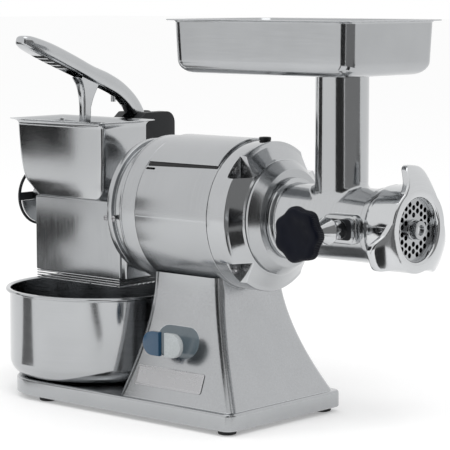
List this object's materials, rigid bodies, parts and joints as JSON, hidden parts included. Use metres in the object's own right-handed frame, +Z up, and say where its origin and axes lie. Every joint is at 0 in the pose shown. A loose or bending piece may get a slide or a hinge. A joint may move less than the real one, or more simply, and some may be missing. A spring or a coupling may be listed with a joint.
{
  "type": "electric meat grinder with cheese grater",
  "caption": "Table-top electric meat mincer with a tray-fed screw head on one end of its motor and a lever-pressed cheese grater over a steel bowl on the other.",
  "frame": {"origin": "centre of the object's footprint box, at the level of the worktop under its feet", "axes": "+X along the motor axis towards the mincing head, +Y to the back (the switch faces -Y), +Z up"},
  "size_m": [0.6098, 0.2748, 0.468],
  "materials": {
    "cast_aluminium": "fine cast, lightly polished",
    "polished_aluminium": "polished casting",
    "brushed_steel": "bright stainless sheet",
    "bright_steel": "polished stainless",
    "gear_steel": "machined steel",
    "dark_steel": "lacquered laminations",
    "copper": "enamelled copper wire",
    "bronze": "machined bronze",
    "black_plastic": "moulded, slightly glossy",
    "black_rubber": "matt",
    "grey_plastic": "soft translucent boot and collar",
    "blue_plastic": "moulded",
    "pale_plastic": "moulded"
  },
  "bodies": {
    "base": {"base_casting": "cast_aluminium", "bottom_cover": "brushed_steel", "label_plate": "brushed_steel", "cable_gland": "black_plastic", "run_capacitor": "grey_plastic", "switch_collar": "grey_plastic", "switch_body": "grey_plastic", "foot_rear_right": "black_rubber", "foot_rear_left": "black_rubber", "foot_front_right": "black_rubber", "foot_front_left": "black_rubber", "motor_casing": "polished_aluminium", "motor_top_cover": "polished_aluminium", "rear_end_cap": "polished_aluminium", "stator_core": "dark_steel", "winding_rear": "copper", "winding_front": "copper", "rear_bearing": "bright_steel", "front_bearing": "bright_steel", "bearing_plate": "cast_aluminium", "gear_housing": "polished_aluminium", "oil_plug": "black_plastic", "output_bearing": "bright_steel", "layshaft": "gear_steel", "head_hub": "polished_aluminium", "grinder_barrel": "polished_aluminium", "clamp_ferrule": "bright_steel", "grinding_plate": "bright_steel", "grater_flange": "polished_aluminium", "grater_housing": "cast_aluminium", "grater_hopper": "polished_aluminium", "front_panel": "brushed_steel", "outlet_collar": "black_plastic", "wire_guard": "bright_steel", "drum_end_hub": "cast_aluminium", "hinge_block": "black_plastic", "hinge_pin": "bright_steel"},
    "rotor": {"rotor_core": "dark_steel", "motor_shaft": "gear_steel", "drive_pinion": "gear_steel", "grater_drum": "bright_steel"},
    "layshaft_set": {"layshaft_gear": "bronze", "layshaft_pinion": "gear_steel"},
    "mincing_screw": {"output_gear": "bronze", "output_shaft": "gear_steel", "auger": "bright_steel", "cutting_knife": "bright_steel"},
    "nut": {"ring_nut": "polished_aluminium"},
    "knob": {"clamp_knob": "black_plastic"},
    "lever": {"lever_arm": "polished_aluminium", "presser_plate": "bright_steel"},
    "tray": {"feed_tray": "brushed_steel"},
    "bowl": {"collecting_bowl": "brushed_steel"},
    "handle": {"end_handle": "black_plastic"},
    "stop": {"stop_button": "blue_plastic"},
    "start": {"start_button": "pale_plastic"}
  },
  "joints": [
    {"name": "motor_spin", "type": "hinge", "parent": "base", "child": "rotor", "pos_m": [0.06915, -0.0096, 0.241], "axis": [1, 0, 0], "continuous": true},
    {"name": "layshaft_spin", "type": "hinge", "parent": "base", "child": "layshaft_set", "pos_m": [0.06915, -0.0096, 0.202], "axis": [1, 0, 0], "continuous": true},
    {"name": "auger_spin", "type": "hinge", "parent": "base", "child": "mincing_screw", "pos_m": [0.06915, -0.0096, 0.241], "axis": [1, 0, 0], "continuous": true},
    {"name": "ring_nut_turn", "type": "hinge", "parent": "base", "child": "nut", "pos_m": [0.27915, -0.0096, 0.241], "axis": [1, 0, 0], "range_deg": [0, 120]},
    {"name": "clamp_knob_turn", "type": "hinge", "parent": "base", "child": "knob", "pos_m": [0.23215, -0.1146, 0.241], "axis": [0, -1, 0], "continuous": true},
    {"name": "lever_swing", "type": "hinge", "parent": "base", "child": "lever", "pos_m": [-0.21985, 0.0864, 0.325], "axis": [1, 0, 0], "range_deg": [-70, 11]},
    {"name": "end_handle_turn", "type": "hinge", "parent": "base", "child": "handle", "pos_m": [-0.29385, -0.0096, 0.241], "axis": [1, 0, 0], "range_deg": [0, 90]},
    {"name": "tray_lift", "type": "slide", "parent": "base", "child": "tray", "axis": [0, 0, 1], "range_m": [0, 0.06]},
    {"name": "bowl_slide", "type": "slide", "parent": "base", "child": "bowl", "axis": [0, -1, 0], "range_m": [0, 0.2]},
    {"name": "stop_press", "type": "slide", "parent": "base", "child": "stop", "axis": [0, 1, 0], "range_m": [0, 0.003], "stiffness_N_per_m": 600, "springref_m": -0.001},
    {"name": "start_press", "type": "slide", "parent": "base", "child": "start", "axis": [0, 1, 0], "range_m": [0, 0.003], "stiffness_N_per_m": 600, "springref_m": -0.001}
  ],
  "couplings": [
    {"joint": "layshaft_spin", "follows": "motor_spin", "ratio": -0.34483},
    {"joint": "auger_spin", "follows": "motor_spin", "ratio": 0.13547}
  ]
}
